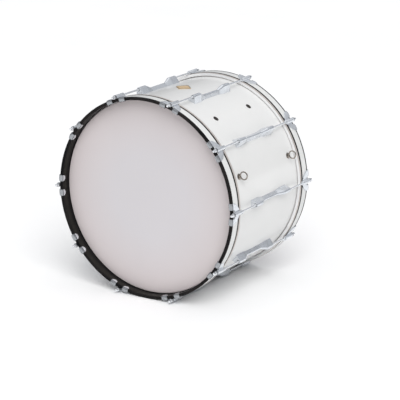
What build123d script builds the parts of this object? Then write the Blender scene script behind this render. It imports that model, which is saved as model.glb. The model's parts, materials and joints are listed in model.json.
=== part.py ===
# Marching bass drum, 22 x 14 inch, resting on its two hoops with its axis level.
# Units are millimetres. The drum's axis runs along Y, the front head faces -Y, and +Z is up.
# The origin is on the floor under the middle of the drum. Each sub-part is built about the
# drum's axis, at the top of the drum, then turned into place and lifted to its height.

from build123d import *
from math import acos, atan2, cos, hypot, radians, sin, tan
import os

INCH = 25.4

# Driving dimensions
SHELL_R = 22 * INCH / 2          # outside of the covering
BEARING_Y = 14 * INCH / 2        # bearing edges, from the middle of the drum
HOOP_R = 290.0                   # outside of the wooden hoops, which touch the floor
TENSION_POINTS = 10
FIRST_ANGLE = 18.0               # first tension point, clockwise from the top, seen from the front
STEP_ANGLE = 360.0 / TENSION_POINTS
FIT_GAP = 0.05                   # radial running clearance of a shaft in its hole
SEAT_GAP = 0.25                  # gap between pieces that only rest on each other

# Shell and covering
PLY_T = 7.5
COVERING_T = 0.5
PLY_R = SHELL_R - COVERING_T
SHELL_INNER_R = PLY_R - PLY_T
EDGE_PEAK_R = 276.5              # radius of the bearing edge's peak
COVERING_Y = 170.0               # half length of the covering
VENT_R = 8.4
VENT_ANGLE = 35.6
VENT_Y = 87.0

# Heads
FILM_T = 0.4
COLLAR_R = 280.5                 # outside of the film's collar
COLLAR_BEND = 3.0                # 45 degree bend between the flat film and its collar
COLLAR_END_Y = 168.0

# Hoops
HOOP_T = 8.75
HOOP_INNER_R = HOOP_R - HOOP_T
HOOP_INNER_Y = 171.8             # edge next to the flesh hoop
HOOP_FACE_Y = 207.8              # outward face
HOOP_EDGE_ROUND = 1.2
INLAY_INNER_MARGIN = 6.6
INLAY_OUTER_MARGIN = 5.6
INLAY_T = 0.8
INLAY_SINK = 0.05
FLESH_INNER_R = 281.0
FLESH_INNER_Y = 164.9
FLESH_EDGE = 0.8

# Tension rods
ROD_AXIS_R = 294.6               # rod axes, from the drum's axis
ROD_R = 2.75
ROD_END_Y = 62.0
ROD_HEAD_SQUARE = 6.35
ROD_TIP_Y = 222.0
ROD_COLLAR_R = 4.7
ROD_COLLAR_T = 2.4
ROD_WASHER_R = 4.9
ROD_WASHER_T = 1.2

# Claws
CLAW_T = 2.3
CLAW_END_Y = 210.3               # outward end, where the rod's washer sits
CLAW_HALF_WIDTH = 31.5
CLAW_NOTCH_HALF = 12.5           # half the gap between the two fingers
CLAW_NOTCH_Y = 199.0
CLAW_STEM_Y = 174.0              # where the wings run into the boss
CLAW_BOSS_R = 6.2
CLAW_BOSS_Y = 168.0
FINGER_TIP_Y = 197.8

# Lugs
LUG_HALF = 93.0
LUG_RIDGE_R = 6.5                # round ridge over the barrels, about the rod's axis
LUG_BASE_HALF = 12.5             # half width on the shell, at the barrels
LUG_BARREL_Y = 60.0              # the barrels run from here to the ends
LUG_WAIST_Y = 37.0
LUG_WAIST_TOP_R = 290.5
LUG_WAIST_RIDGE_R = 4.0
LUG_WAIST_BASE_HALF = 8.5
LUG_POCKET_WIDTH = 12.0          # hollow under each barrel
LUG_POCKET_LENGTH = 28.0
LUG_POCKET_TOP_R = 287.0
LUG_POCKET_Y = 73.0
CUP_DEPTH = 3.0
INSERT_R = 4.4
INSERT_LENGTH = 24.0
LUG_BORE_END_Y = 57.0
LUG_SCREW_Y = 46.0
LUG_SCREW_R = 2.0
LUG_SCREW_TIP_R = 288.0
LUG_SCREW_HEAD_R = 4.4
LUG_SCREW_HEAD_H = 3.0
LUG_WASHER_R = 6.0
LUG_WASHER_T = 1.0
SHELL_SCREW_HOLE_R = 2.4

# Strap eyes
EYE_ANGLE = 72.0
EYE_Y = 133.5
EYE_CENTRE_R = SHELL_R + 15.8
EYE_RING_R = 10.8                # centre line of the ring's wire
EYE_WIRE_R = 1.8
EYE_LAND_R = 9.2                 # short round land inside the ring
EYE_SHANK_R = 2.9
EYE_NECK_R = 3.2
EYE_FLANGE_R = 8.8
EYE_FLANGE_T = 1.8
EYE_FLANGE_RIM = 0.7
EYE_FLANGE_TOP_R = 5.0
EYE_NUT_FLATS = 10.0
EYE_NUT_T = 5.0
EYE_WASHER_R = 7.0
EYE_WASHER_T = 1.5

# Badge: a plain square plate that stands on one corner
BADGE_SIDE = 36.0
BADGE_CORNER_R = 3.0
BADGE_T = 1.4
BADGE_RIM_W = 2.0
BADGE_RIM_T = 0.6
BADGE_PIN_Y = 19.0
BADGE_PIN_R = 0.8
BADGE_PIN_HEAD_R = 1.5
BADGE_PIN_HEAD_H = 1.0
BADGE_PIN_LENGTH = 7.0

INNER_FLAT_R = SHELL_INNER_R - 0.2   # a flat washer sits this far out inside the round shell

parts = {}


def keep(name, solids, angle=0.0, front=True):
    """Puts a piece built at the top, at the front end, in its place and stores it."""
    if not front:
        solids = Rot(0, 0, 180) * solids
    parts[name] = Pos(0, 0, HOOP_R) * Rot(0, angle, 0) * solids


def tension_angles():
    return [FIRST_ANGLE + STEP_ANGLE * index for index in range(TENSION_POINTS)]


def at_all_points(piece, angles=None):
    """Copies a piece built at the top to each tension point, as a group of separate solids."""
    angles = angles or tension_angles()
    return Compound(children=[Rot(0, angle, 0) * piece for angle in angles])


def turned(points):
    """A body of revolution about the drum's axis, from (radius, y) points."""
    outline = make_face(Polyline(*points, close=True))
    return revolve(outline, Axis.Y)


def tube(outer, inner, y_low, y_high):
    return turned([(inner, y_low), (outer, y_low), (outer, y_high), (inner, y_high)])


def rod_along_y(radius, y_low, y_high, height=0.0):
    """A cylinder parallel to the drum's axis, at a height above it."""
    middle = (y_low + y_high) / 2
    return Pos(0, middle, height) * Rot(90, 0, 0) * Cylinder(radius, y_high - y_low)


def post(radius, z_low, z_high, y=0.0):
    """A cylinder standing radially at the top of the drum."""
    return Pos(0, y, (z_low + z_high) / 2) * Cylinder(radius, z_high - z_low)


def shell_holes():
    """Everything that is drilled through the shell and its covering."""
    low, high = SHELL_INNER_R - 5, SHELL_R + 5
    holes = []
    for angle in tension_angles():
        for y in (-LUG_SCREW_Y, LUG_SCREW_Y):
            holes.append(Rot(0, angle, 0) * post(SHELL_SCREW_HOLE_R, low, high, y))
    for sign in (-1, 1):
        holes.append(Rot(0, VENT_ANGLE, 0) * post(VENT_R, low, high, sign * VENT_Y))
        holes.append(Rot(0, EYE_ANGLE, 0) * post(EYE_SHANK_R + FIT_GAP, low, high, sign * EYE_Y))
        holes.append(post(BADGE_PIN_R + FIT_GAP, low, high, sign * BADGE_PIN_Y))
    return holes


def shell():
    """Plywood tube with a 45 degree bearing edge inside and a small one outside."""
    inner_edge_y = BEARING_Y - (EDGE_PEAK_R - SHELL_INNER_R)
    outer_edge_y = BEARING_Y - (PLY_R - EDGE_PEAK_R)
    half = [
        (SHELL_INNER_R, inner_edge_y),
        (EDGE_PEAK_R, BEARING_Y),
        (PLY_R, outer_edge_y),
    ]
    other_half = [(radius, -y) for radius, y in reversed(half)]
    return turned(half + other_half) - shell_holes()


def covering():
    return tube(SHELL_R, PLY_R, -COVERING_Y, COVERING_Y) - shell_holes()


def head():
    """Film stretched flat over the bearing edge, with a collar down into the flesh hoop."""
    outer_y = -(BEARING_Y + FILM_T)
    inset = FILM_T * tan(radians(22.5))
    bend_r, bend_y = COLLAR_R - COLLAR_BEND, outer_y + COLLAR_BEND
    outside = [(0, outer_y), (bend_r, outer_y), (COLLAR_R, bend_y), (COLLAR_R, -COLLAR_END_Y)]
    inner_r = COLLAR_R - FILM_T
    inside = [(0, -BEARING_Y), (bend_r - inset, -BEARING_Y), (inner_r, bend_y + inset)]
    inside += [(inner_r, -COLLAR_END_Y)]
    return turned(outside + inside[::-1])


def flesh_hoop():
    ring = tube(HOOP_R, FLESH_INNER_R, -HOOP_INNER_Y, -FLESH_INNER_Y)
    return chamfer(ring.edges().filter_by(GeomType.CIRCLE).sort_by(Axis.Y)[-2:], FLESH_EDGE)


def inlay_span():
    return -(HOOP_FACE_Y - INLAY_OUTER_MARGIN), -(HOOP_INNER_Y + INLAY_INNER_MARGIN)


def hoop():
    """Wooden ring with rounded corners and a shallow groove for the inlay."""
    ring = tube(HOOP_R, HOOP_INNER_R, -HOOP_FACE_Y, -HOOP_INNER_Y)
    ring = fillet(ring.edges().filter_by(GeomType.CIRCLE), HOOP_EDGE_ROUND)
    return ring - tube(HOOP_R + 1, HOOP_R - INLAY_T, *inlay_span())


def hoop_inlay():
    return tube(HOOP_R - INLAY_SINK, HOOP_R - INLAY_T, *inlay_span())


def claw_outline():
    """Plan of a claw: two wings that run from the fingers into the boss."""
    corner = (CLAW_HALF_WIDTH, -CLAW_END_Y)
    shoulder = (CLAW_HALF_WIDTH, -(HOOP_FACE_Y - 2))
    bulge = (0.72 * CLAW_HALF_WIDTH, -(CLAW_STEM_Y + 0.48 * (HOOP_FACE_Y - CLAW_STEM_Y)))
    stem = (CLAW_BOSS_R, -CLAW_STEM_Y)
    notch_front = (CLAW_NOTCH_HALF, -CLAW_END_Y)
    notch_back = (CLAW_NOTCH_HALF, -CLAW_NOTCH_Y)
    edges = [
        Line((0, -CLAW_NOTCH_Y), notch_back),
        Line(notch_back, notch_front),
        Line(notch_front, corner),
        Line(corner, shoulder),
        ThreePointArc(shoulder, bulge, stem),
        Line(stem, (0, -CLAW_STEM_Y)),
        Line((0, -CLAW_STEM_Y), (0, -CLAW_NOTCH_Y)),
    ]
    half = make_face(edges)
    return half + mirror(half, about=Plane.YZ)


def finger_outline(side):
    """Plan of one finger where it lies on the hoop's inner face."""
    width = CLAW_HALF_WIDTH - CLAW_NOTCH_HALF
    length = CLAW_END_Y - FINGER_TIP_Y
    middle = (CLAW_HALF_WIDTH + CLAW_NOTCH_HALF) / 2
    finger = Rectangle(width, length)
    finger = fillet(finger.vertices().group_by(Axis.Y)[-1], 0.49 * width)
    return Pos(side * middle, -(CLAW_END_Y + FINGER_TIP_Y) / 2) * finger


def claw():
    """Hook over the hoop: outer plate, two fingers round the edge, and the rod's boss."""
    plate_r = HOOP_R + SEAT_GAP
    lip_r = HOOP_INNER_R - SEAT_GAP
    top_r = plate_r + CLAW_T
    reach = 2 * CLAW_BOSS_R
    tall = ROD_AXIS_R + reach
    plate = tube(top_r, plate_r, -CLAW_END_Y, -CLAW_BOSS_Y) & extrude(claw_outline(), tall)
    body = plate
    for side in (-1, 1):
        column = extrude(finger_outline(side), tall)
        front = tube(top_r, lip_r - CLAW_T, -CLAW_END_Y, -(HOOP_FACE_Y + SEAT_GAP))
        lip = tube(lip_r, lip_r - CLAW_T, -CLAW_END_Y, -FINGER_TIP_Y)
        body = body + ((front + lip) & column)
    boss = rod_along_y(CLAW_BOSS_R, -CLAW_END_Y, -CLAW_BOSS_Y, ROD_AXIS_R)
    boss = fillet(boss.edges().filter_by(GeomType.CIRCLE).sort_by(Axis.Y)[-1:], 1.0)
    boss = boss - rod_along_y(plate_r, -CLAW_END_Y - 1, -CLAW_BOSS_Y + 1)
    bore = rod_along_y(ROD_R + FIT_GAP, -CLAW_END_Y - 1, -CLAW_BOSS_Y + 1, ROD_AXIS_R)
    return body + boss - bore


def rod():
    """Tension rod: threaded shank, round collar and square key head."""
    washer_y = CLAW_END_Y + ROD_WASHER_T
    collar_y = washer_y + ROD_COLLAR_T
    head_length = ROD_TIP_Y - collar_y
    shank = rod_along_y(ROD_R, -washer_y, -ROD_END_Y, ROD_AXIS_R)
    shank = chamfer(shank.edges().filter_by(GeomType.CIRCLE).sort_by(Axis.Y)[-1:], 0.6)
    collar = rod_along_y(ROD_COLLAR_R, -collar_y, -washer_y, ROD_AXIS_R)
    collar = fillet(collar.edges().filter_by(GeomType.CIRCLE).sort_by(Axis.Y)[:1], 0.8)
    head_box = Box(ROD_HEAD_SQUARE, head_length, ROD_HEAD_SQUARE)
    head_box = chamfer(head_box.faces().sort_by(Axis.Y)[0].edges(), 0.7)
    head_box = Pos(0, -(ROD_TIP_Y + collar_y) / 2, ROD_AXIS_R) * head_box
    return shank + collar + head_box


def rod_washer():
    washer_y = CLAW_END_Y + ROD_WASHER_T
    disc = rod_along_y(ROD_WASHER_R, -washer_y, -CLAW_END_Y, ROD_AXIS_R)
    return disc - rod_along_y(ROD_R + FIT_GAP, -washer_y - 1, -CLAW_END_Y + 1, ROD_AXIS_R)


def lug_section(y, base_half, ridge_r, top_r):
    """Cross-section of a lug at one place: flat sides that run up into a round ridge."""
    base, centre = SHELL_R - 1, top_r - ridge_r
    lean = atan2(base - centre, base_half) + acos(ridge_r / hypot(base_half, base - centre))
    shoulder_x, shoulder_z = ridge_r * cos(lean), centre + ridge_r * sin(lean)
    edges = [
        Line((-base_half, base), (-shoulder_x, shoulder_z)),
        ThreePointArc((-shoulder_x, shoulder_z), (0, top_r), (shoulder_x, shoulder_z)),
        Line((shoulder_x, shoulder_z), (base_half, base)),
        Line((base_half, base), (-base_half, base)),
    ]
    return Plane((0, y, 0), x_dir=(1, 0, 0), z_dir=(0, -1, 0)) * make_face(edges)


def lug_half_body():
    """The front half of a lug: half the waist, the flare and one barrel."""
    waist = (LUG_WAIST_BASE_HALF, LUG_WAIST_RIDGE_R, LUG_WAIST_TOP_R)
    barrel = (LUG_BASE_HALF, LUG_RIDGE_R, ROD_AXIS_R + LUG_RIDGE_R)
    body = extrude(lug_section(0, *waist), LUG_WAIST_Y)
    body += loft([lug_section(-LUG_WAIST_Y, *waist), lug_section(-LUG_BARREL_Y, *barrel)])
    body += extrude(lug_section(-LUG_BARREL_Y, *barrel), LUG_HALF - LUG_BARREL_Y)
    return body


def lug_bores(side):
    """What is taken out of one end of a lug: rod bore, insert pocket, hollow, screw hole."""
    end, pocket, bore = side * (LUG_HALF + 1), side * insert_end_y(), side * LUG_BORE_END_Y
    insert_pocket = rod_along_y(INSERT_R, min(end, pocket), max(end, pocket), ROD_AXIS_R)
    rod_bore = rod_along_y(ROD_R + 0.4, min(pocket, bore), max(pocket, bore), ROD_AXIS_R)
    floor = SHELL_R - 2
    hollow = Box(LUG_POCKET_WIDTH, LUG_POCKET_LENGTH, LUG_POCKET_TOP_R - floor)
    hollow = Pos(0, side * LUG_POCKET_Y, (LUG_POCKET_TOP_R + floor) / 2) * hollow
    screw_hole = post(LUG_SCREW_R + FIT_GAP, floor, LUG_SCREW_TIP_R + 1, side * LUG_SCREW_Y)
    return [insert_pocket, rod_bore, hollow, screw_hole]


def lug():
    """Double-ended cast lug, bored at both ends for the threaded inserts."""
    half = lug_half_body()
    body = half + mirror(half, about=Plane.XZ)
    body = body - rod_along_y(SHELL_R + FIT_GAP, -LUG_HALF - 1, LUG_HALF + 1)
    return body - lug_bores(-1) - lug_bores(1)


def insert_end_y():
    return LUG_HALF - CUP_DEPTH - INSERT_LENGTH


def lug_inserts():
    """The two threaded inserts of one lug, each on the bottom of its cup."""
    outer_y = LUG_HALF - CUP_DEPTH
    barrel = rod_along_y(INSERT_R - FIT_GAP, -outer_y, -insert_end_y(), ROD_AXIS_R)
    one = barrel - rod_along_y(ROD_R + FIT_GAP, -LUG_HALF, -insert_end_y() + 1, ROD_AXIS_R)
    return Compound(children=[one, mirror(one, about=Plane.XZ)])


def lug_screw(y):
    """Screw put in from inside the shell, through its washer, into the lug."""
    seat = INNER_FLAT_R - LUG_WASHER_T
    head_piece = post(LUG_SCREW_HEAD_R, seat - LUG_SCREW_HEAD_H, seat, y)
    head_piece = fillet(head_piece.edges().sort_by(Axis.Z)[:1], 1.2)
    return head_piece + post(LUG_SCREW_R, seat, LUG_SCREW_TIP_R, y)


def lug_screw_washer(y):
    seat = INNER_FLAT_R - LUG_WASHER_T
    disc = post(LUG_WASHER_R, seat, INNER_FLAT_R, y)
    return disc - post(LUG_SCREW_R + FIT_GAP, seat - 1, INNER_FLAT_R + 1, y)


def pair_along_lug(make):
    return Compound(children=[make(-LUG_SCREW_Y), make(LUG_SCREW_Y)])


def strap_eye():
    """Ring bolt: a ring standing on a neck, with a shank through the shell."""
    ring = Pos(0, -EYE_Y, EYE_CENTRE_R) * Rot(90, 0, 0) * Torus(EYE_RING_R, EYE_WIRE_R)
    ring_foot = EYE_CENTRE_R - EYE_RING_R - EYE_WIRE_R
    neck = post(EYE_NECK_R, SHELL_R + EYE_FLANGE_T, ring_foot + 1.2, -EYE_Y)
    shank_low = INNER_FLAT_R - EYE_WASHER_T - EYE_NUT_T - 2
    shank = post(EYE_SHANK_R, shank_low, SHELL_R + EYE_FLANGE_T, -EYE_Y)
    land = rod_along_y(EYE_LAND_R, -EYE_Y - 5, -EYE_Y + 5, EYE_CENTRE_R)
    return ring + neck + shank - land


def strap_eye_flange():
    """Cone-shaped collar between the ring bolt's neck and the shell."""
    rim = post(EYE_FLANGE_R, SHELL_R - 1, SHELL_R + EYE_FLANGE_RIM, -EYE_Y)
    slope = Cone(EYE_FLANGE_R, EYE_FLANGE_TOP_R, EYE_FLANGE_T - EYE_FLANGE_RIM)
    slope = Pos(0, -EYE_Y, SHELL_R + (EYE_FLANGE_T + EYE_FLANGE_RIM) / 2) * slope
    disc = rim + slope - rod_along_y(SHELL_R + FIT_GAP, -EYE_Y - 20, -EYE_Y + 20)
    return disc - post(EYE_SHANK_R + FIT_GAP, SHELL_R - 3, SHELL_R + 5, -EYE_Y)


def strap_eye_washer():
    seat = INNER_FLAT_R - EYE_WASHER_T
    disc = post(EYE_WASHER_R, seat, INNER_FLAT_R, -EYE_Y)
    return disc - post(EYE_SHANK_R + FIT_GAP, seat - 1, INNER_FLAT_R + 1, -EYE_Y)


def strap_eye_nut():
    seat = INNER_FLAT_R - EYE_WASHER_T
    hexagon = RegularPolygon(EYE_NUT_FLATS / 2, 6, major_radius=False)
    nut = Pos(0, -EYE_Y, seat - EYE_NUT_T) * extrude(hexagon, EYE_NUT_T)
    return nut - post(EYE_SHANK_R + FIT_GAP, seat - EYE_NUT_T - 1, seat + 1, -EYE_Y)


def both_ends(piece):
    return Compound(children=[piece, mirror(piece, about=Plane.XZ)])


def badge_column(side, corner_r):
    """Upright square column over the top of the shell, turned corner-on to the axis."""
    square = Rectangle(side, side)
    square = Rot(0, 0, 45) * fillet(square.vertices(), corner_r)
    return Pos(0, 0, SHELL_R - 5) * extrude(square, 10)


def badge():
    """Square plate that follows the shell's curve, with a raised rim."""
    column = badge_column(BADGE_SIDE, BADGE_CORNER_R)
    rim_column = column - badge_column(BADGE_SIDE - 2 * BADGE_RIM_W, BADGE_CORNER_R / 2)
    plate_r = SHELL_R + FIT_GAP
    plate = tube(plate_r + BADGE_T, plate_r, -BADGE_SIDE, BADGE_SIDE) & column
    rim = tube(plate_r + BADGE_T + BADGE_RIM_T, plate_r, -BADGE_SIDE, BADGE_SIDE) & rim_column
    body = plate + rim
    for sign in (-1, 1):
        body = body - post(BADGE_PIN_R + FIT_GAP, SHELL_R - 5, SHELL_R + 5, sign * BADGE_PIN_Y)
    return body


def badge_pin(y):
    """Pin with a domed head that lies on the badge, just clear of its curve."""
    seat = SHELL_R + BADGE_T + 2 * FIT_GAP
    dome = post(BADGE_PIN_HEAD_R, seat, seat + BADGE_PIN_HEAD_H, y)
    dome = fillet(dome.edges().sort_by(Axis.Z)[-1:], 0.7)
    return dome + post(BADGE_PIN_R, seat - BADGE_PIN_LENGTH, seat, y)


def make_shell_assembly():
    keep("shell", shell())
    keep("shell_covering", covering())
    one_lug, angles = lug(), tension_angles()
    for index, angle in enumerate(angles, 1):
        keep(f"lug_{index:02d}", one_lug, angle)
    keep("lug_inserts", at_all_points(lug_inserts()))
    keep("lug_screws", at_all_points(pair_along_lug(lug_screw)))
    keep("lug_screw_washers", at_all_points(pair_along_lug(lug_screw_washer)))
    keep("strap_eye_flanges", both_ends(strap_eye_flange()), EYE_ANGLE)
    keep("strap_eye_washers", both_ends(strap_eye_washer()), EYE_ANGLE)
    keep("strap_eye_nuts", both_ends(strap_eye_nut()), EYE_ANGLE)
    keep("badge", badge())
    keep("badge_pins", Compound(children=[badge_pin(-BADGE_PIN_Y), badge_pin(BADGE_PIN_Y)]))


def make_end(end, front):
    """Everything that one end of the drum carries: head, hoops, claws, rods and strap eye."""
    keep(f"{end}_head", head(), front=front)
    keep(f"{end}_flesh_hoop", flesh_hoop(), front=front)
    keep(f"{end}_hoop", hoop(), front=front)
    keep(f"{end}_hoop_inlay", hoop_inlay(), front=front)
    keep(f"{end}_claws", at_all_points(claw()), front=front)
    keep(f"{end}_rod_washers", at_all_points(rod_washer()), front=front)
    keep(f"{end}_strap_eye", strap_eye(), EYE_ANGLE, front=front)
    one_rod = rod()
    for index, angle in enumerate(tension_angles(), 1):
        keep(f"{end}_rod_{index:02d}", one_rod, angle, front)


make_shell_assembly()
make_end("front", True)
make_end("rear", False)

os.makedirs("parts", exist_ok=True)
for name, solids in parts.items():
    export_step(solids, f"parts/{name}.step")
print(len(parts), "parts written")
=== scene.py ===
import bpy
import bmesh
import json
import math
from mathutils import Matrix, Vector


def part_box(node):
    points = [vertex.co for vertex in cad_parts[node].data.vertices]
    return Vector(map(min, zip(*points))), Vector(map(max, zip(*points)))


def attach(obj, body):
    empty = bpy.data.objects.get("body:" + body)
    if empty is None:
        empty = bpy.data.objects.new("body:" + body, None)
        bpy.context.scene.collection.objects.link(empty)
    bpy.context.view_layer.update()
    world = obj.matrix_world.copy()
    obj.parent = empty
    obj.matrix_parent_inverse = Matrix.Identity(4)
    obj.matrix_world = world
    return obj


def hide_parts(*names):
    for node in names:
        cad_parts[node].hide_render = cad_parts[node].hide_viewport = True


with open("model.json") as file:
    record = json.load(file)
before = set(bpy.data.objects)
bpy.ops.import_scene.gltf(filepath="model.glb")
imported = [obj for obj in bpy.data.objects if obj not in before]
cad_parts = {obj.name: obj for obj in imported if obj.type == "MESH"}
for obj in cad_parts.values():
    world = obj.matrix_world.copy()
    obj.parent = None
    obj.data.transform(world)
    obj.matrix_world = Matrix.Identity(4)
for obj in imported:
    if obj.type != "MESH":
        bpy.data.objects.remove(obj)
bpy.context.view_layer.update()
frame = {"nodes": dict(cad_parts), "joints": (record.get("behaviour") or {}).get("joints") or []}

# A marching bass drum. Its axis is parallel to Y and the front head faces -Y. Geometry is drawn in
# millimetres about that axis, at the top of the drum and its front end, then put in place. A size
# whose name ends in _R is a distance from the drum's axis or a radius, and one whose name ends in
# _Y is a distance from the middle of the drum towards a head.
MM = 0.001
INCH = 25.4
nodes = frame["nodes"]
hoop_low, hoop_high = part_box("front_hoop")
AXIS_Z = (hoop_low.z + hoop_high.z) / 2
CENTRE = Vector((0, 0, AXIS_Z))


# ---------------------------------------------------------------- sizes (millimetres)

def in_mm(metres):
    """Millimetres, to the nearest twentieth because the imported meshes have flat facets."""
    return round(metres / MM * 20) / 20


def ends(node):
    """Where a CAD node starts and ends, counted from the middle of the drum to the front."""
    low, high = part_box(node)
    return in_mm(-high.y), in_mm(-low.y)


def radii(node):
    """Least and greatest distance of a CAD node from the drum's axis."""
    distances = [math.hypot(v.co.x, v.co.z - AXIS_Z) for v in nodes[node].data.vertices]
    return in_mm(min(distances)), in_mm(max(distances))


def rod_axis_radius():
    """Distance of the tension rods from the drum's axis, from the joint that one turns on."""
    places = {joint["name"]: joint.get("pos_m") for joint in frame["joints"]}
    x, _, z = places["front_rod_01_turn"]
    return in_mm(math.hypot(x, z - AXIS_Z))


TENSION_POINTS = 10
FIRST_ANGLE = 18                     # degrees from the top of the drum
STEP_ANGLE = 360 / TENSION_POINTS
TENSION_ANGLES = [math.radians(FIRST_ANGLE + STEP_ANGLE * index) for index in range(TENSION_POINTS)]
SHELL_R = radii("shell_covering")[1]
BEARING_Y = ends("shell")[1]
ROD_AXIS_R = rod_axis_radius()
ROD_R = 2.75

# Hoops and heads
HOOP_INNER_R, HOOP_R = radii("front_hoop")
HOOP_INNER_Y, HOOP_FACE_Y = ends("front_hoop")
INLAY_FLOOR_R = radii("front_hoop_inlay")[0]
INLAY_INNER_Y, INLAY_OUTER_Y = ends("front_hoop_inlay")
FLESH_INNER_R = radii("front_flesh_hoop")[0]
FLESH_INNER_Y = ends("front_flesh_hoop")[0]
COLLAR_R = radii("front_head")[1]
COLLAR_END_Y, FILM_Y = ends("front_head")
FILM_T = FILM_Y - BEARING_Y
BEND_R = 3.4                         # outside of the film's bend over the bearing edge

# Lugs
LUG_HALF = ends("lug_01")[1]
LUG_WAIST_Y = 37.0                   # the waist reaches from the middle to here
LUG_BARREL_Y = 60.0                  # the barrels reach from here to the ends
LUG_SEAT_R = SHELL_R + 0.05          # the curved foot, just clear of the covering
BARREL_RIDGE_R = 6.5
WAIST_SIZE = (8.5, 4.0, 290.5)       # half width on the shell, ridge radius, top of the ridge
BARREL_SIZE = (12.5, BARREL_RIDGE_R, ROD_AXIS_R + BARREL_RIDGE_R)
FLARE_EASE = 0.9                     # how far the flare's corners are softened, along the lug
POCKET_END_Y = 62.0                  # bottom of the pocket that holds an insert
POCKET_GAP = 0.05
INSERT_R = 4.35
INSERT_INNER_Y = 66.0
INSERT_OUTER_Y = ends("lug_inserts")[1]

# Claws
CLAW_T = 2.3
CLAW_GAP = 0.25                      # between a claw and the hoop that it hooks over
CLAW_BEND_R = 2.0                    # bend of the plate's middle, over the hoop and round its lip
CLAW_HALF_WIDTH = 31.5
BOSS_Y, CLAW_END_Y = ends("front_claws")
BOSS_R = 6.2
BOSS_FLOOR_R = HOOP_R + 0.35         # the boss's flat underside
STEM_Y = 174.0                       # the wings grow out of the boss from here
WING_FULL_Y = HOOP_FACE_Y - 2        # and have their full width from here
WING_ROOT = 4.0                      # inner edge of a wing, hidden in the boss
WING_BULGE = 7.2                     # how far a wing's outer edge bows out, at most
WING_SKEW = 0.2                      # share of the bow that is lost towards the hoop's face
WING_STEP = 1.9                      # between sections, up to the notch
WING_CROWN = 0.55                    # rise of a wing's outer surface across its width
CROWN_START_WIDTH = 6.0              # a narrower part is flat
CROWN_FULL_WIDTH = 16.0
EDGE_EASE = 0.7                      # rounding of the plate's edges
EDGE_SHARE = 0.35                    # and the most that it takes of a part's width
NOTCH_HALF = 12.5                    # half the gap between the two fingers
NOTCH_Y = 199.0
NOTCH_START_Y = NOTCH_Y - 0.5
NOTCH_ROUND = 2.0                    # how far along the claw the notch's corner is round
FINGER_TIP_Y = 197.8
FACE_BULGE = 0.7                     # bow of a finger where it crosses the hoop's face
FACE_TILT = math.radians(14)
QUARTER_TURN = [math.radians(15 * step) for step in range(7)]
TIP_ANGLES = (8, 20, 32, 44, 56, 67, 77, 84)

# Tension rods
ROD_END_Y, ROD_TIP_Y = ends("front_rod_01")
ROD_SIDES = 32
SHANK_R = 2.68
THREAD_END_Y = 101.0
THREAD_LEAD = 1.0                    # length of the plain tip, before the thread starts
THREAD_PITCH = INCH / 24
THREAD_DEPTH = 0.42
THREAD_STEEPNESS = 1.25              # above 1, so that the crests are flat
THREAD_SLICES = 4                    # slices in one turn of the thread
WASHER_R = 4.9
WASHER_Y = ends("front_rod_washers")[1]
ROD_COLLAR_R = 4.7
ROD_COLLAR_Y = WASHER_Y + 2.4
KEY_HALF = INCH / 8
KEY_SQUARENESS = 7                   # power of the rounded square: 2 is a circle

# Strap eyes and badge
EYE_ANGLE = math.radians(72)
EYE_Y = sum(ends("front_strap_eye")) / 2
EYE_CENTRE_R = SHELL_R + 15.8
EYE_RING_R = 10.8                    # middle of the ring's wire, from the ring's centre
EYE_WIRE_R = 1.8
EYE_SHANK_R = 2.85
EYE_SHANK_END_R = 261.0
FLANGE_BORE_R = 2.95
FLANGE_SEAT_R = SHELL_R - 0.05       # sunk a little, so that no gap shows
BADGE_HALF = 18.0
BADGE_CORNER_R = 3.0
BADGE_FACE_R = SHELL_R + 1.58        # just above the badge's face, and below its rim

DRUM_SIDES = 288                     # sides of a ring that goes round the drum


# ---------------------------------------------------------------- camera, light and floor

VIEW_AZIMUTH = math.radians(32.59)
VIEW_ELEVATION = math.radians(16.13)
CAMERA_ROLL = math.radians(-0.30)
CAMERA_DISTANCE = 5.089
CAMERA_LENS = 159.1
AIM_RIGHT = 0.0453
AIM_UP = -0.0505


def make_camera():
    sin_a, cos_a = math.sin(VIEW_AZIMUTH), math.cos(VIEW_AZIMUTH)
    sin_e, cos_e = math.sin(VIEW_ELEVATION), math.cos(VIEW_ELEVATION)
    back = Vector((sin_a * cos_e, -cos_a * cos_e, sin_e))
    level = Vector((cos_a, sin_a, 0))
    above = back.cross(level)
    right = level * math.cos(CAMERA_ROLL) + above * math.sin(CAMERA_ROLL)
    up = back.cross(right)
    place = CENTRE + back * CAMERA_DISTANCE + right * AIM_RIGHT + up * AIM_UP
    data = bpy.data.cameras.new("camera")
    data.lens = CAMERA_LENS
    data.sensor_width = 36
    camera = bpy.data.objects.new("camera", data)
    turn = Matrix((right, up, back)).transposed().to_4x4()
    camera.matrix_world = Matrix.Translation(place) @ turn
    bpy.context.scene.collection.objects.link(camera)
    bpy.context.scene.camera = camera


def add_light(name, kind, direction, power, colour):
    """A light that shines along a direction and isn't mirrored in the chrome."""
    data = bpy.data.lights.new(name, kind)
    data.energy = power
    data.color = colour
    light = bpy.data.objects.new(name, data)
    light.rotation_euler = direction.to_track_quat("-Z", "Y").to_euler()
    light.visible_glossy = False
    bpy.context.scene.collection.objects.link(light)
    return light


def area_light(name, place, aim, size, power, colour):
    light = add_light(name, "AREA", Vector(aim) - Vector(place), power, colour)
    light.location = place
    light.data.shape = "RECTANGLE"
    light.data.size, light.data.size_y = size


def soft_sun(name, source, spread, power, colour):
    """Even light from one side, as from a large soft box far away."""
    light = add_light(name, "SUN", -Vector(source), power, colour)
    light.data.angle = spread


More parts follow.
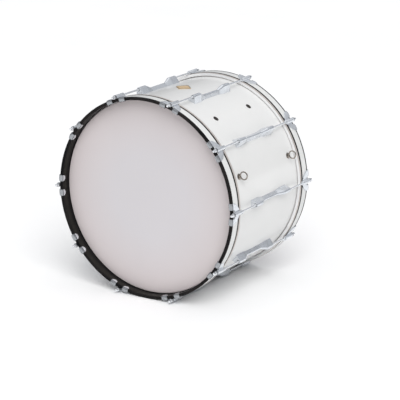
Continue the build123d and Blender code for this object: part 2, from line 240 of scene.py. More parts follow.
def make_lights():
    """A soft sun above and behind the camera, and two wide, weak lights that fill its shadows."""
    drum = (0, 0, 0.3)
    soft_sun("key", (1.8, -2.0, 2.6), spread=math.radians(40), power=1.9, colour=(1.0, 0.995, 0.985))
    area_light("front_fill", (1.7, -2.6, 1.3), drum, size=(1.8, 1.4), power=5, colour=(1.0, 0.98, 0.98))
    area_light("top", (-0.8, 0.3, 4.0), drum, size=(4.0, 4.0), power=4, colour=(0.97, 0.97, 1.0))


# The studio dome by height: (place on a scale from straight down to straight up, colour)
DOME = [
    (0.00, (0.90, 0.90, 0.90)),
    (0.50, (0.38, 0.38, 0.39)),
    (0.57, (0.32, 0.325, 0.34)),
    (0.63, (0.38, 0.39, 0.41)),
    (0.76, (0.50, 0.51, 0.54)),
    (0.88, (0.74, 0.75, 0.77)),
    (1.00, (1.50, 1.50, 1.50)),
]
DOME_STRENGTH = 0.83
BACKDROP = (1.25, 1.25, 1.26, 1)

# The Mix node repeats its sockets' names for each data type, so they are told apart by number.
MIX_AMOUNT, MIX_FIRST, MIX_SECOND = 0, 6, 7
MIX_RESULT = 2


def set_stops(ramp_node, stops):
    """Gives a colour ramp its (position, colour) stops."""
    elements = ramp_node.color_ramp.elements
    while len(elements) < len(stops):
        elements.new(0.5)
    for element, (position, colour) in zip(elements, stops):
        element.position = position
        element.color = (*colour, 1)


def make_world():
    """The drum is lit by the dome and mirrors it, and the camera sees a plain white backdrop."""
    world = bpy.data.worlds.new("studio")
    bpy.context.scene.world = world
    world.use_nodes = True
    tree = world.node_tree
    direction = tree.nodes.new("ShaderNodeTexCoord").outputs["Generated"]
    split = tree.nodes.new("ShaderNodeSeparateXYZ")
    height = tree.nodes.new("ShaderNodeMapRange")
    height.inputs["From Min"].default_value = -1.0
    dome = tree.nodes.new("ShaderNodeValToRGB")
    set_stops(dome, DOME)
    tree.links.new(direction, split.inputs[0])
    tree.links.new(split.outputs["Z"], height.inputs["Value"])
    tree.links.new(height.outputs["Result"], dome.inputs["Fac"])
    choice = tree.nodes.new("ShaderNodeMix")
    choice.data_type = "RGBA"
    choice.inputs[MIX_SECOND].default_value = BACKDROP
    seen = tree.nodes.new("ShaderNodeLightPath").outputs["Is Camera Ray"]
    tree.links.new(seen, choice.inputs[MIX_AMOUNT])
    tree.links.new(dome.outputs["Color"], choice.inputs[MIX_FIRST])
    background = tree.nodes["Background"]
    tree.links.new(choice.outputs[MIX_RESULT], background.inputs["Color"])
    background.inputs["Strength"].default_value = DOME_STRENGTH
    bpy.context.scene.view_settings.view_transform = "Standard"


def make_floor(material):
    half = 30.0                      # metres
    mesh = bpy.data.meshes.new("floor")
    corners = [(-half, -half, 0), (half, -half, 0), (half, half, 0), (-half, half, 0)]
    mesh.from_pydata(corners, [], [(0, 1, 2, 3)])
    mesh.materials.append(material)
    floor = bpy.data.objects.new("floor", mesh)
    bpy.context.scene.collection.objects.link(floor)


# ---------------------------------------------------------------- materials

class Shader:
    """Small helper that wires one procedural Principled material."""

    def __init__(self, name):
        self.material = bpy.data.materials.new(name)
        self.material.use_nodes = True
        self.tree = self.material.node_tree
        self.surface = self.tree.nodes["Principled BSDF"]
        self.place = self.node("ShaderNodeTexCoord").outputs["Object"]

    def node(self, kind, **inputs):
        made = self.tree.nodes.new(kind)
        for key, value in inputs.items():
            self.feed(made.inputs[key.replace("_", " ")], value)
        return made

    def feed(self, socket, value):
        if isinstance(value, bpy.types.NodeSocket):
            self.tree.links.new(value, socket)
        else:
            socket.default_value = value

    def set(self, **inputs):
        """Feeds the surface's own sockets: Coat_Weight=0.2 sets its Coat Weight."""
        for key, value in inputs.items():
            self.feed(self.surface.inputs[key.replace("_", " ")], value)

    def stretched(self, scale):
        """The object's own coordinates, stretched for grain that runs one way."""
        return self.node("ShaderNodeMapping", Vector=self.place, Scale=scale).outputs["Vector"]

    def axis_distance(self):
        """Distance from the drum's axis, in metres."""
        moved = self.node("ShaderNodeMapping", Vector=self.place, Location=(0, 0, -AXIS_Z))
        flat = self.node("ShaderNodeMapping", Vector=moved.outputs["Vector"], Scale=(1, 0, 1))
        length = self.node("ShaderNodeVectorMath")
        length.operation = "LENGTH"
        self.feed(length.inputs[0], flat.outputs["Vector"])
        return length.outputs["Value"]

    def end_distance(self):
        """Distance from the middle of the drum towards either head, in metres."""
        split = self.node("ShaderNodeSeparateXYZ", Vector=self.place)
        size = self.node("ShaderNodeMath")
        size.operation = "ABSOLUTE"
        self.feed(size.inputs[0], split.outputs["Y"])
        return size.outputs["Value"]

    def product(self, first, second):
        made = self.node("ShaderNodeMath")
        made.operation = "MULTIPLY"
        self.feed(made.inputs[0], first)
        self.feed(made.inputs[1], second)
        return made.outputs["Value"]

    def noise(self, scale, detail=4.0, roughness=0.55, vector=None):
        made = self.node("ShaderNodeTexNoise", Scale=scale, Detail=detail, Roughness=roughness)
        self.feed(made.inputs["Vector"], vector or self.place)
        return made.outputs["Fac"]

    def ramp(self, value, stops):
        made = self.node("ShaderNodeValToRGB", Fac=value)
        set_stops(made, stops)
        return made.outputs["Color"]

    def tint(self, value, low, high, start=0.3, end=0.7):
        """Goes from the low colour to the high one as the value goes from start to end."""
        return self.ramp(value, [(start, low), (end, high)])

    def mix(self, amount, first, second, blend="MIX"):
        made = self.node("ShaderNodeMix")
        made.data_type = "RGBA"
        made.blend_type = blend
        self.feed(made.inputs[MIX_FIRST], first)
        self.feed(made.inputs[MIX_SECOND], second)
        self.feed(made.inputs[MIX_AMOUNT], amount)
        return made.outputs[MIX_RESULT]

    def spread(self, value, low, high, start=0.3, end=0.7):
        """Goes from low to high as the value goes from start to end, and stays there."""
        made = self.node("ShaderNodeMapRange", Value=value)
        made.inputs["From Min"].default_value = start
        made.inputs["From Max"].default_value = end
        made.inputs["To Min"].default_value = low
        made.inputs["To Max"].default_value = high
        return made.outputs["Result"]

    def rise(self, distance, start, end):
        """Goes from 0 to 1 as a distance goes from start to end, in millimetres."""
        return self.spread(distance, 0.0, 1.0, start * MM, end * MM)

    def bump(self, height, strength, distance, below=None):
        made = self.node("ShaderNodeBump", Height=height, Strength=strength, Distance=distance)
        if below:
            self.feed(made.inputs["Normal"], below)
        return made.outputs["Normal"]


def covering_material():
    """White wrap: almost even satin white, faint orange peel, under a thin gloss coat."""
    s = Shader("white_wrap")
    s.set(Base_Color=s.tint(s.noise(4.0, 3.0), (0.740, 0.740, 0.731), (0.760, 0.760, 0.751)))
    s.set(Roughness=s.spread(s.noise(60.0, 6.0), 0.16, 0.22))
    s.set(Normal=s.bump(s.noise(230.0, 2.0), 0.03, 0.0003))
    s.set(Coat_Weight=0.35, Coat_Roughness=0.03)
    return s.material


def film_material():
    """Sprayed film: cool grey-white in the middle, warmer towards the rim, fine tooth."""
    s = Shader("head_film")
    rim = s.rise(s.axis_distance(), 120.0, 275.0)
    cloud = s.noise(2.2, 3.0)
    inside = s.tint(cloud, (0.603, 0.582, 0.600), (0.630, 0.608, 0.627), 0.32, 0.68)
    outside = s.tint(cloud, (0.610, 0.553, 0.552), (0.643, 0.582, 0.580), 0.32, 0.68)
    s.set(Base_Color=s.mix(rim, inside, outside))
    s.set(Roughness=s.spread(s.noise(35.0, 6.0), 0.42, 0.56))
    tooth = s.bump(s.noise(900.0, 3.0, 0.7), 0.14, 0.0002)
    s.set(Normal=s.bump(s.noise(3.0, 1.0), 0.05, 0.003, tooth))
    s.set(Sheen_Weight=0.06, Specular_IOR_Level=0.35)
    return s.material


def lacquer_material():
    """Black lacquered wood: grain under the finish, uneven polish, and a painted sheen inside the ring.
    """
    s = Shader("black_lacquer")
    grain = s.noise(9.0, 8.0, 0.6, s.stretched((1.0, 26.0, 1.0)))
    black = s.tint(grain, (0.004, 0.004, 0.005), (0.024, 0.021, 0.020), 0.35, 0.72)
    # Painted sheen: a lighter colour on the ring's inner face, strongest part-way across and fading out
    # towards the film and the front face.
    painted_sheen = s.tint(grain, (0.014, 0.013, 0.012), (0.030, 0.028, 0.025), 0.30, 0.75)
    across = s.rise(s.end_distance(), 177.0, 208.5)
    shares = [(0.0, 0.0), (0.15, 0.0), (0.55, 1.0), (0.80, 0.8), (1.0, 0.0)]
    middle = s.ramp(across, [(position, (share, share, share)) for position, share in shares])
    inner_start, inner_end = (HOOP_INNER_R + 0.15) * MM, (HOOP_INNER_R + 0.95) * MM
    inner = s.spread(s.axis_distance(), 1.0, 0.0, inner_start, inner_end)
    s.set(Base_Color=s.mix(s.product(middle, inner), black, painted_sheen))
    s.set(Roughness=s.spread(s.noise(120.0, 8.0, 0.7), 0.30, 0.45))
    s.set(Normal=s.bump(grain, 0.08, 0.0003))
    s.set(Specular_IOR_Level=0.06, Coat_Weight=0.02, Coat_Roughness=0.10)
    return s.material


def inlay_material():
    """White pearloid strip: soft cells of slightly different white."""
    s = Shader("inlay_pearl")
    cells = s.node("ShaderNodeTexVoronoi", Scale=95.0, Vector=s.place).outputs["Distance"]
    s.set(Base_Color=s.tint(cells, (0.745, 0.745, 0.735), (0.715, 0.72, 0.71), 0.1, 0.6))
    s.set(Roughness=s.spread(s.noise(80.0, 5.0), 0.16, 0.26))
    s.set(Normal=s.bump(cells, 0.04, 0.0003))
    s.set(Coat_Weight=0.2, Coat_Roughness=0.05)
    return s.material


def metal_material(name, low, high, roughness, ripple, metallic=1.0):
    """Plated or bare metal: colour drift, uneven polish, and a light ripple."""
    s = Shader(name)
    s.set(Base_Color=s.tint(s.noise(40.0, 5.0), low, high), Metallic=metallic)
    s.set(Roughness=s.spread(s.noise(150.0, 6.0, 0.65), *roughness))
    s.set(Normal=s.bump(s.noise(ripple, 2.0), 0.10, 0.0005))
    return s.material


def claw_material():
    """Chromed hook: bright wings, a dark line of painted shade along the bend, and a face darkened as a
    painted reflection.
    """
    s = Shader("claw_chrome")
    bright = s.tint(s.noise(40.0, 5.0), (0.74, 0.77, 0.81), (0.82, 0.85, 0.89))
    # Painted shade: a dark line along the bend; painted reflection: a darker finger face over the hoop's
    # front.
    stops = [(0.0, (1, 1, 1)), (0.18, (1, 1, 1)), (0.45, (0.22, 0.22, 0.23))]
    stops += [(0.70, (0.20, 0.20, 0.21)), (0.85, (0.40, 0.40, 0.40)), (1.0, (0.46, 0.46, 0.46))]
    painted_shade_and_reflection = s.ramp(s.rise(s.end_distance(), 205.5, 210.5), stops)
    s.set(Base_Color=s.mix(1.0, bright, painted_shade_and_reflection, "MULTIPLY"), Metallic=0.7)
    s.set(Roughness=s.spread(s.noise(150.0, 6.0, 0.65), 0.17, 0.27))
    s.set(Normal=s.bump(s.noise(45.0, 2.0), 0.10, 0.0005))
    return s.material


def aluminium_material():
    """Rolled ring: the side face is painted bright as painted light, and the brushed outer face is
    painted darker and warmer as a painted reflection.
    """
    s = Shader("hoop_aluminium")
    tone = s.noise(40.0, 5.0)
    # Painted light: the side face gets a near-white copy of the metal, and the outer face a darker,
    # warmer copy that stands for a painted reflection.
    side = s.tint(tone, (0.88, 0.88, 0.885), (0.94, 0.94, 0.94))
    outer = s.tint(tone, (0.52, 0.475, 0.445), (0.60, 0.555, 0.525))
    outside = s.rise(s.axis_distance(), HOOP_R - 1.1, HOOP_R - 0.6)
    s.set(Base_Color=s.mix(outside, side, outer), Metallic=0.35)
    s.set(Roughness=s.spread(s.noise(150.0, 6.0, 0.65), 0.30, 0.42))
    lines = s.noise(30.0, 6.0, 0.6, s.stretched((4.0, 140.0, 4.0)))
    s.set(Normal=s.bump(lines, 0.2, 0.0003))
    return s.material


def plywood_material():
    """Dark ply, its darkness painted shade for the vent holes: grain round the shell, with lighter veins.
    """
    s = Shader("ply_painted_shade")
    grain = s.noise(5.0, 9.0, 0.62, s.stretched((1.0, 18.0, 1.0)))
    # Painted shade: the ply is near-black so that the vent holes read as shade inside the drum.
    s.set(Base_Color=s.tint(grain, (0.060, 0.056, 0.054), (0.150, 0.136, 0.125)))
    s.set(Roughness=s.spread(s.noise(70.0, 5.0), 0.42, 0.6))
    s.set(Normal=s.bump(grain, 0.25, 0.0006))
    return s.material


def badge_material():
    """Satin bronze plate: pale face with a slow patina, and a dark brown rim."""
    s = Shader("badge_bronze")
    patina = s.noise(160.0, 7.0, 0.65)
    face = s.tint(patina, (0.66, 0.47, 0.27), (0.84, 0.63, 0.39))
    raised = s.rise(s.axis_distance(), BADGE_FACE_R, BADGE_FACE_R + 0.2)
    s.set(Base_Color=s.mix(raised, face, (0.11, 0.08, 0.05, 1)))
    s.set(Metallic=0.35, Roughness=s.spread(patina, 0.32, 0.5))
    s.set(Normal=s.bump(s.noise(700.0, 3.0), 0.2, 0.0002))
    return s.material


def floor_material():
    s = Shader("pale_floor")
    s.set(Base_Color=s.tint(s.noise(1.5, 3.0), (0.93, 0.93, 0.93), (0.95, 0.95, 0.95)))
    s.set(Roughness=s.spread(s.noise(12.0, 4.0), 0.85, 0.95))
    s.set(Specular_IOR_Level=0.1)
    return s.material


CHROME = metal_material("chrome", (0.69, 0.72, 0.76), (0.77, 0.80, 0.84), (0.16, 0.24), 45.0, 0.74)
CLAW_CHROME = claw_material()
ROD_STEEL = metal_material("rod_chrome", (0.78, 0.80, 0.83), (0.87, 0.89, 0.92), (0.10, 0.20), 90.0, 0.75)
NICKEL = metal_material("eye_nickel", (0.30, 0.265, 0.23), (0.46, 0.42, 0.375), (0.14, 0.26), 120.0)
ZINC = metal_material("zinc_steel", (0.45, 0.45, 0.46), (0.62, 0.62, 0.62), (0.25, 0.42), 140.0)
ALUMINIUM = aluminium_material()
# Painted shade: the lug sleeves are near-black so that they stand for the shadow in each lug's rod hole.
SLEEVE = metal_material("sleeve_painted_shade", (0.04, 0.04, 0.04), (0.10, 0.10, 0.105), (0.25, 0.42), 140.0)
LACQUER = lacquer_material()
FILM = film_material()
INLAY = inlay_material()
WRAP = covering_material()
PLY = plywood_material()
BRONZE = badge_material()


# ---------------------------------------------------------------- mesh helpers (millimetres)

def skin(bm, rings, closed=False):
    """Joins rings of equally many points. The ends are capped unless the rings close up."""
    loops = [[bm.verts.new(point) for point in ring] for ring in rings]
    pairs = list(zip(loops, loops[1:]))
    if closed:
        pairs.append((loops[-1], loops[0]))
    for low, high in pairs:
        for index in range(len(low)):
            after = (index + 1) % len(low)
            bm.faces.new((low[index], low[after], high[after], high[index]))
    if not closed:
        bm.faces.new(loops[0][::-1])
        bm.faces.new(loops[-1])


def circle(count):
    """Angles evenly spaced round a full turn."""
    return [2 * math.pi * index / count for index in range(count)]


def ring_along_y(radius, y, height, count):
    return [(radius * math.cos(a), y, height + radius * math.sin(a)) for a in circle(count)]


def turned(bm, profile, closed, count=48, height=0.0):
    """Turns (radius, y) points about a line parallel to the drum's axis."""
    skin(bm, [ring_along_y(radius, y, height, count) for radius, y in profile], closed)


def upright(bm, profile, y, closed, count=40):
    """Turns (radius, z) points about a radial line at the top of the drum."""
    rings = []
    for radius, z in profile:
        rings.append([(radius * math.cos(a), y + radius * math.sin(a), z) for a in circle(count)])
    skin(bm, rings, closed)


def arc(centre, radius, start, end, steps):
    """Points (u, v) on an arc, from a start to an end angle in degrees."""
    points = []
    for step in range(steps + 1):
        angle = math.radians(start + (end - start) * step / steps)
        points.append((centre[0] + radius * math.cos(angle), centre[1] + radius * math.sin(angle)))
    return points


def on_cylinder(x, radius, y, about=HOOP_R):
    """Wraps a flat width round the drum."""
    return (radius * math.sin(x / about), y, radius * math.cos(x / about))


def clamped(share):
    """Keeps a share between 0 and 1."""
    return max(0.0, min(1.0, share))


def placing(angle=0.0, front=True):
    """From the top of the drum, at its front end, to a tension point."""
    end = Matrix.Identity(4) if front else Matrix.Rotation(math.pi, 4, "Z")
    turn = Matrix.Rotation(angle, 4, "Y")
    return Matrix.Translation(CENTRE) @ turn @ end @ Matrix.Scale(MM, 4)


def add_piece(name, draw, material, body, stands_for, places, sharp=32):
    """Draws a piece once, copies it to its places as one object, and attaches it to its body in place of
    the CAD node.
    """
    pattern = bmesh.new()
    draw(pattern)
    bmesh.ops.recalc_face_normals(pattern, faces=pattern.faces)
    mesh, copy = bpy.data.meshes.new(name), bpy.data.meshes.new("copy")
    whole = bmesh.new()
    for place in places:
        pattern.to_mesh(copy)
        copy.transform(place)
        whole.from_mesh(copy)
    whole.to_mesh(mesh)
    bpy.data.meshes.remove(copy)
    whole.free()
    pattern.free()
    mesh.shade_smooth()
    mesh.set_sharp_from_angle(angle=math.radians(sharp))
    mesh.materials.append(material)
    made = bpy.data.objects.new(name, mesh)
    bpy.context.scene.collection.objects.link(made)
    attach(made, body)
    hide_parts(stands_for)


# ---------------------------------------------------------------- hoops and heads

def draw_hoop(bm):
    """Bent wooden ring: rounded corners and a shallow groove for the inlay."""
    soft = 1.2
    top, bottom = HOOP_R - soft, HOOP_INNER_R + soft
    face, back = -HOOP_FACE_Y + soft, -HOOP_INNER_Y - soft
    profile = arc((bottom, back), soft, 180, 90, 5)
    profile += arc((top, back), soft, 90, 0, 5)
    profile += [(HOOP_R, -INLAY_INNER_Y), (INLAY_FLOOR_R, -INLAY_INNER_Y)]
    profile += [(INLAY_FLOOR_R, -INLAY_OUTER_Y), (HOOP_R, -INLAY_OUTER_Y)]
    profile += arc((top, face), soft, 0, -90, 5)
    profile += arc((bottom, face), soft, -90, -180, 5)
    turned(bm, profile, True, DRUM_SIDES)


def draw_inlay(bm):
    """Strip let into the hoop, its long edges eased and its face faintly crowned."""
    gap, ease, sink = 0.05, 0.15, 0.08
    crown, crown_y = 0.05, -190.0
    inner, outer = -INLAY_INNER_Y - gap, -INLAY_OUTER_Y + gap
    low, high = INLAY_FLOOR_R, HOOP_R - sink
    profile = [(low, outer), (high - ease, outer), (high, outer + ease), (high + crown, crown_y)]
    profile += [(high, inner - ease), (high - ease, inner), (low, inner)]
    turned(bm, profile, True, DRUM_SIDES)


def draw_flesh_hoop(bm):
    """Metal ring that grips the film: rolled inboard edge, and a fine groove in its outer face."""
    soft, ease = 1.3, 0.3
    groove_r, near, far, slope = HOOP_R - 0.25, -169.0, -170.6, 0.5
    inboard, outboard = -FLESH_INNER_Y - soft, -HOOP_INNER_Y
    profile = [(FLESH_INNER_R, outboard)]
    profile += arc((FLESH_INNER_R + soft, inboard), soft, 180, 90, 5)
    profile += arc((HOOP_R - soft, inboard), soft, 90, 0, 6)
    profile += [(HOOP_R, near), (groove_r, near - slope), (groove_r, far + slope), (HOOP_R, far)]
    profile += [(HOOP_R, outboard + ease), (HOOP_R - ease, outboard)]
    turned(bm, profile, True, DRUM_SIDES)


def draw_head(bm):
    """Film: flat playing face, rounded bend over the bearing edge, collar into the flesh hoop."""
    bend = (COLLAR_R - BEND_R, -FILM_Y + BEND_R)
    flat = [1.0, 60.0, 120.0, 180.0, 230.0, 265.0]
    outside = [(radius, -FILM_Y) for radius in flat] + arc(bend, BEND_R, -90, 0, 8)
    inside = [(radius, -BEARING_Y) for radius in flat] + arc(bend, BEND_R - FILM_T, -90, 0, 8)
    outside.append((COLLAR_R, -COLLAR_END_Y))
    inside.append((COLLAR_R - FILM_T, -COLLAR_END_Y))
    turned(bm, outside + inside[::-1], False, DRUM_SIDES)


# ---------------------------------------------------------------- claws

def boss_ring(radius, y):
    """Circle about the rod's axis, flattened where it lies on the hoop."""
    points = ring_along_y(radius, y, ROD_AXIS_R, 48)
    return [(x, y, max(z, BOSS_FLOOR_R)) for x, y, z in points]


def draw_boss(bm):
    """Block over the rod's hole, its edges eased, with the hole through it."""
    eased = [(1.0, -BOSS_Y), (0.3, -BOSS_Y - 0.3), (0.0, -BOSS_Y - 1.0)]
    eased += [(0.0, -CLAW_END_Y + 0.4), (0.4, -CLAW_END_Y)]
    rings = [boss_ring(BOSS_R - inset, y) for inset, y in eased]
    bore = ROD_R + 0.1
    for y in (-CLAW_END_Y, -BOSS_Y):
        rings.append(ring_along_y(bore, y, ROD_AXIS_R, 48))
    skin(bm, rings, closed=True)


def wing_edge(y):
    """Half width of the claw's plan at a distance from the middle of the drum."""
    if y >= WING_FULL_Y:
        return CLAW_HALF_WIDTH
    share = (y - STEM_Y) / (WING_FULL_Y - STEM_Y)
    straight = BOSS_R + (CLAW_HALF_WIDTH - BOSS_R) * share
    return straight + WING_BULGE * math.sin(math.pi * share) * (1 - WING_SKEW * share)


def notch_edge(y):
    """Inner edge of a wing: inside the boss, then out round the notch beside it."""
    share = clamped((y - NOTCH_START_Y) / NOTCH_ROUND)
    return WING_ROOT + (NOTCH_HALF - WING_ROOT) * math.sqrt(1 - (1 - share) ** 2)


def claw_stations():
    """Along one wing and finger: (y, radius, outward direction as (y, radius), low x, high x)."""
    middle = HOOP_R + CLAW_GAP + CLAW_T / 2
    lip = HOOP_INNER_R - CLAW_GAP - CLAW_T / 2
    face = CLAW_END_Y - CLAW_T / 2
    top, bottom, turn_y = middle - CLAW_BEND_R, lip + CLAW_BEND_R, -face + CLAW_BEND_R

    # The wing, along the hoop's outer face
    places = [STEM_Y + step * WING_STEP for step in range(13)]
    places += [NOTCH_START_Y, NOTCH_START_Y + 0.1, NOTCH_Y, NOTCH_Y + 0.6, NOTCH_Y + 1.5]
    places += [NOTCH_Y + 2.5, NOTCH_Y + 5.5]
    stations = [(-y, middle, (0, 1), notch_edge(y), wing_edge(y)) for y in places]

    # The finger: over the hoop's edge, down its side face, and round its inner edge
    finger = (NOTCH_HALF, CLAW_HALF_WIDTH)
    for a in QUARTER_TURN:
        out = (-math.sin(a), math.cos(a))
        stations.append((turn_y + CLAW_BEND_R * out[0], top + CLAW_BEND_R * out[1], out, *finger))
    for step in range(1, 8):
        share = step / 8
        tilt = FACE_TILT * math.cos(math.pi * share)
        bulge = FACE_BULGE * math.sin(math.pi * share)
        out = (-math.cos(tilt), math.sin(tilt))
        stations.append((-face - bulge, top + (bottom - top) * share, out, *finger))
    for a in QUARTER_TURN:
        out = (-math.cos(a), -math.sin(a))
        stations.append((turn_y + CLAW_BEND_R * out[0], bottom + CLAW_BEND_R * out[1], out, *finger))

    # Its round tip, inside the hoop
    half = (CLAW_HALF_WIDTH - NOTCH_HALF) / 2
    finger_x, tip_centre = NOTCH_HALF + half, FINGER_TIP_Y + half
    for angle in TIP_ANGLES:
        a = math.radians(angle)
        width = half * math.cos(a)
        y = -(tip_centre - half * math.sin(a))
        stations.append((y, lip, (0, -1), finger_x - width, finger_x + width))
    return stations


def wing_ring(side, y, radius, out, low, high):
    """Section across a wing: a flat strip with rounded edges and a crowned outer face."""
    half, width = CLAW_T / 2, high - low
    ease = min(EDGE_EASE, EDGE_SHARE * width)
    cut = 0.25 * ease
    crowned = clamped((width - CROWN_START_WIDTH) / (CROWN_FULL_WIDTH - CROWN_START_WIDTH))
    crown = WING_CROWN * crowned * max(0.0, out[1] - out[0])
    section = []
    for step in range(13):
        share = step / 12
        x = low + ease + (width - 2 * ease) * share
        section.append((x, half + crown * math.sin(math.pi * share)))
    section += [(high - cut, half - cut), (high, half - ease)]
    section += [(high, -half + ease), (high - ease, -half)]
    section += [(low + ease, -half), (low, -half + ease)]
    section += [(low, half - ease), (low + cut, half - cut)]
    ring = []
    for x, lift in section:
        ring.append(on_cylinder(side * x, radius + lift * out[1], y + lift * out[0]))
    return ring


def draw_claw(bm):
    """Pressed hook: two crowned wings that turn over the hoop's face, and the rod's boss."""
    for side in (-1, 1):
        skin(bm, [wing_ring(side, *station) for station in claw_stations()])
    draw_boss(bm)


# ---------------------------------------------------------------- lugs

def lug_ring(y, base_half, ridge_r, top_r):
    """Section of a lug: flat flanks that run up into a round ridge, and a curved foot."""
    centre = top_r - ridge_r
    foot = math.sqrt(LUG_SEAT_R ** 2 - base_half ** 2)
    down = foot - centre
    lean = math.atan2(down, base_half) + math.acos(ridge_r / math.hypot(base_half, down))
    shoulder = Vector((ridge_r * math.cos(lean), centre + ridge_r * math.sin(lean)))
    flank = [Vector((base_half, foot)).lerp(shoulder, step / 6) for step in range(6)]
    ridge = arc((0, centre), ridge_r, math.degrees(lean), 180 - math.degrees(lean), 18)
    section = [tuple(point) for point in flank] + ridge
    section += [(-point.x, point.y) for point in reversed(flank)]
    for step in range(1, 8):
        x = -base_half + 2 * base_half * step / 8
        section.append((x, math.sqrt(LUG_SEAT_R ** 2 - x * x)))
    return [(x, y, z) for x, z in section]


def lug_size(y):
    """Size of the section at a place, eased over the corners of the flare."""
    def flare(at):
        return clamped((abs(at) - LUG_WAIST_Y) / (LUG_BARREL_Y - LUG_WAIST_Y))
    share = (flare(y - FLARE_EASE) + 2 * flare(y) + flare(y + FLARE_EASE)) / 4
    return [low + (high - low) * share for low, high in zip(WAIST_SIZE, BARREL_SIZE)]


def mouth_ring(radius, y, section):
    """Round ring with a point beside each point of a lug's section, seen from its middle."""
    middle = 289.0
    angles = [math.atan2(z - middle, x) for x, _, z in section]
    return [(radius * math.cos(a), y, ROD_AXIS_R + radius * math.sin(a)) for a in angles]


def draw_lug(bm):
    """Cast lug, one piece: slim waist, flare, barrel, eased end, and the insert's pocket."""
    places = [0, 12, 24, 33] + [LUG_WAIST_Y + step for step in (-1.2, -0.4, 0.4, 1.4)]
    places += [42, 48, 54] + [LUG_BARREL_Y + step for step in (-1.4, -0.4, 0.5, 1.5)]
    places += [66, 76, 86]
    rings = [lug_ring(y, *lug_size(y)) for y in places]
    base_half, ridge_r, top_r = BARREL_SIZE
    for short, inset in ((0.8, 0.0), (0.25, 0.2), (0.0, 0.6)):
        rings.append(lug_ring(LUG_HALF - short, base_half - inset, ridge_r - inset, top_r - inset))
    pocket_r, chamfer = INSERT_R + POCKET_GAP, 0.5
    pocket = [(pocket_r + chamfer, LUG_HALF), (pocket_r, LUG_HALF - chamfer), (pocket_r, POCKET_END_Y)]
    rings += [mouth_ring(radius, y, rings[0]) for radius, y in pocket]
    far = [[(x, -y, z) for x, y, z in ring] for ring in rings[:0:-1]]
    skin(bm, far + rings)


def draw_inserts(bm):
    """Threaded sleeve in each end of a lug, its mouth countersunk."""
    bore, chamfer = ROD_R + 0.08, 0.4
    sink_width, sink_depth = 0.7, 0.8
    for side in (-1, 1):
        near, far = side * INSERT_INNER_Y, side * INSERT_OUTER_Y
        profile = [(bore, near), (INSERT_R, near), (INSERT_R, far - side * chamfer)]
        profile += [(INSERT_R - chamfer, far), (bore + sink_width, far), (bore, far - side * sink_depth)]
        turned(bm, profile, True, 40, ROD_AXIS_R)


# ---------------------------------------------------------------- rods and washers

def thread_ring(y):
    """Slice of the screw thread; the crest winds round as y moves by a pitch."""
    ring = []
    for a in circle(ROD_SIDES):
        phase = (y / THREAD_PITCH - a / (2 * math.pi)) % 1.0
        height = min(1.0, THREAD_STEEPNESS * (1 - abs(2 * phase - 1)))
        radius = ROD_R - THREAD_DEPTH * (1 - height)
        ring.append((radius * math.cos(a), y, ROD_AXIS_R + radius * math.sin(a)))
    return ring


def key_ring(y, half):
    """Slice of the square key head, its corners rounded."""
    ring = []
    for a in circle(ROD_SIDES):
        total = abs(math.cos(a)) ** KEY_SQUARENESS + abs(math.sin(a)) ** KEY_SQUARENESS
        size = half * total ** (-1 / KEY_SQUARENESS)
        ring.append((size * math.cos(a), y, ROD_AXIS_R + size * math.sin(a)))
    return ring


def draw_rod(bm):
    """Tension rod: thread, plain shank, round collar and square key head with a domed tip."""
    tip = [(1.7, ROD_END_Y), (2.25, ROD_END_Y + 0.6)]
    rings = [ring_along_y(radius, -y, ROD_AXIS_R, ROD_SIDES) for radius, y in tip]
    turns = int((THREAD_END_Y - ROD_END_Y - THREAD_LEAD) / THREAD_PITCH)
    for step in range(THREAD_SLICES * turns + 1):
        rings.append(thread_ring(-ROD_END_Y - THREAD_LEAD - step * THREAD_PITCH / THREAD_SLICES))
    shank = [(2.45, THREAD_END_Y), (2.6, THREAD_END_Y + 0.8), (SHANK_R, THREAD_END_Y + 1.6)]
    shank += [(SHANK_R, WASHER_Y), (ROD_COLLAR_R - 0.3, WASHER_Y), (ROD_COLLAR_R, WASHER_Y + 0.3)]
    shank += [(ROD_COLLAR_R, ROD_COLLAR_Y - 0.9), (ROD_COLLAR_R - 0.25, ROD_COLLAR_Y - 0.35)]
    shank.append((ROD_COLLAR_R - 0.8, ROD_COLLAR_Y))
    rings += [ring_along_y(radius, -y, ROD_AXIS_R, ROD_SIDES) for radius, y in shank]
    head = [(0.0, ROD_COLLAR_Y + 0.05), (0.0, ROD_TIP_Y - 1.2), (0.25, ROD_TIP_Y - 0.6)]
    head += [(0.8, ROD_TIP_Y - 0.15), (1.5, ROD_TIP_Y)]
    rings += [key_ring(-y, KEY_HALF - inset) for inset, y in head]
    skin(bm, rings)


def draw_rod_washer(bm):
    """Turned washer between the claw's boss and the rod's collar, with eased edges."""
    hole, ease, hole_ease, gap = ROD_R + 0.05, 0.25, 0.15, 0.02
    inner, outer = -CLAW_END_Y - gap, -WASHER_Y + gap
    profile = [(hole, inner), (WASHER_R - ease, inner), (WASHER_R, inner - ease)]
    profile += [(WASHER_R, outer + ease), (WASHER_R - ease, outer)]
    profile += [(hole + hole_ease, outer), (hole, outer + hole_ease)]
    turned(bm, profile, True, 40, ROD_AXIS_R)


# ---------------------------------------------------------------- strap eyes and badge

def draw_strap_eye(bm):
    """Ring bolt: round ring, a neck that swells below the ring, and the shank."""
    wire = arc((EYE_RING_R, -EYE_Y), EYE_WIRE_R, 0, 345, 23)
    turned(bm, wire, True, 72, EYE_CENTRE_R)
    foot = EYE_CENTRE_R - EYE_RING_R - EYE_WIRE_R
    profile = [(2.3, EYE_SHANK_END_R), (EYE_SHANK_R, EYE_SHANK_END_R + 0.6)]
    profile += [(EYE_SHANK_R, SHELL_R + 1.7), (3.4, SHELL_R + 1.9), (3.3, foot - 0.6)]
    profile += [(3.0, foot + 0.2), (2.6, foot + 0.9), (1.6, foot + 1.5)]
    upright(bm, profile, -EYE_Y, False)


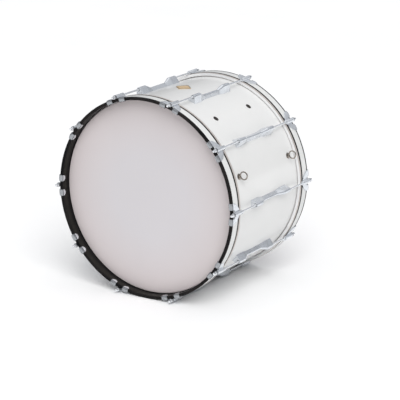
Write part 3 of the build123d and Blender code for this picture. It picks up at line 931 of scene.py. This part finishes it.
def draw_flange(bm):
    """Turned collar under each ring bolt: thin rim, a hollow, and a raised hub."""
    outline = [(8.6, 0.0), (8.8, 0.2), (8.75, 0.6), (8.3, 0.8), (7.2, 0.75), (6.2, 0.95)]
    outline += [(5.4, 1.4), (4.9, 1.75), (4.2, 1.85), (FLANGE_BORE_R, 1.85)]
    profile = [(FLANGE_BORE_R, FLANGE_SEAT_R)]
    profile += [(radius, FLANGE_SEAT_R + height) for radius, height in outline]
    for y in (-EYE_Y, EYE_Y):
        upright(bm, profile, y, True, 48)


def corner_square(half, corner_r):
    """Outline of a rounded square that stands on one corner."""
    points = []
    flat = half - corner_r
    for quarter in range(4):
        turn = Matrix.Rotation(math.radians(90 * quarter + 45), 2)
        side = [(half, -flat + 2 * flat * step / 6) for step in range(6)]
        for point in side + arc((flat, flat), corner_r, 0, 75, 5):
            points.append(tuple(turn @ Vector(point)))
    return points


def draw_badge(bm):
    """Plate that follows the shell: eased outer edge, raised rim, and a faintly domed face."""
    # Each level is the outline scaled, at a height above the shell
    underside = [(0.25, 0.06), (0.6, 0.06), (0.99, 0.06)]
    rim = [(1.0, 0.2), (1.0, 1.8), (0.985, 2.0), (0.905, 2.0), (0.89, 1.85), (0.88, 1.5)]
    face = [(0.8, 1.46), (0.6, 1.5), (0.3, 1.55), (0.04, 1.57)]
    outline = corner_square(BADGE_HALF, BADGE_CORNER_R)
    rings = []
    for scale, height in underside + rim + face:
        ring = [on_cylinder(x * scale, SHELL_R + height, y * scale, SHELL_R) for x, y in outline]
        rings.append(ring)
    skin(bm, rings)


# ---------------------------------------------------------------- putting the drum together

def dress_cad_nodes():
    """Finishes for the CAD nodes that are shown as they are."""
    by_material = {
        WRAP: ["shell_covering"],
        PLY: ["shell"],
        ZINC: ["lug_screws", "lug_screw_washers", "strap_eye_washers", "strap_eye_nuts", "badge_pins"],
    }
    for material, names in by_material.items():
        for name in names:
            mesh = nodes[name].data
            mesh.materials.clear()
            mesh.materials.append(material)


def make_shell_pieces():
    body = "shell_body"
    here = [placing()]
    for index, angle in enumerate(TENSION_ANGLES, 1):
        node = f"lug_{index:02d}"
        add_piece(f"{node}_casting", draw_lug, CHROME, body, node, [placing(angle)], 24)
    around = [placing(angle) for angle in TENSION_ANGLES]
    add_piece("lug_sleeves", draw_inserts, SLEEVE, body, "lug_inserts", around)
    eyes = [placing(EYE_ANGLE)]
    add_piece("eye_collars", draw_flange, NICKEL, body, "strap_eye_flanges", eyes)
    add_piece("badge_plate", draw_badge, BRONZE, body, "badge", here)


def make_end_pieces(end, front):
    hoop_body = f"{end}_hoop_body"
    here = [placing(0.0, front)]
    around = [placing(angle, front) for angle in TENSION_ANGLES]

    def on_hoop(name, draw, material, node, places):
        add_piece(f"{end}_{name}", draw, material, hoop_body, f"{end}_{node}", places)

    on_hoop("wood_hoop", draw_hoop, LACQUER, "hoop", here)
    on_hoop("inlay_strip", draw_inlay, INLAY, "hoop_inlay", here)
    on_hoop("flesh_ring", draw_flesh_hoop, ALUMINIUM, "flesh_hoop", here)
    on_hoop("claw_hooks", draw_claw, CLAW_CHROME, "claws", around)
    on_hoop("washers", draw_rod_washer, ZINC, "rod_washers", around)
    film = f"{end}_head"
    add_piece(f"{end}_film", draw_head, FILM, "shell_body", film, here)
    eye = f"{end}_strap_eye"
    place = [placing(EYE_ANGLE, front)]
    add_piece(f"{end}_ring_bolt", draw_strap_eye, NICKEL, "shell_body", eye, place)
    for index, angle in enumerate(TENSION_ANGLES, 1):
        rod = f"{end}_rod_{index:02d}"
        place = [placing(angle, front)]
        add_piece(f"{rod}_bolt", draw_rod, ROD_STEEL, f"{rod}_body", rod, place)


make_camera()
make_world()
make_lights()
make_floor(floor_material())
dress_cad_nodes()
make_shell_pieces()
make_end_pieces("front", True)
make_end_pieces("rear", False)
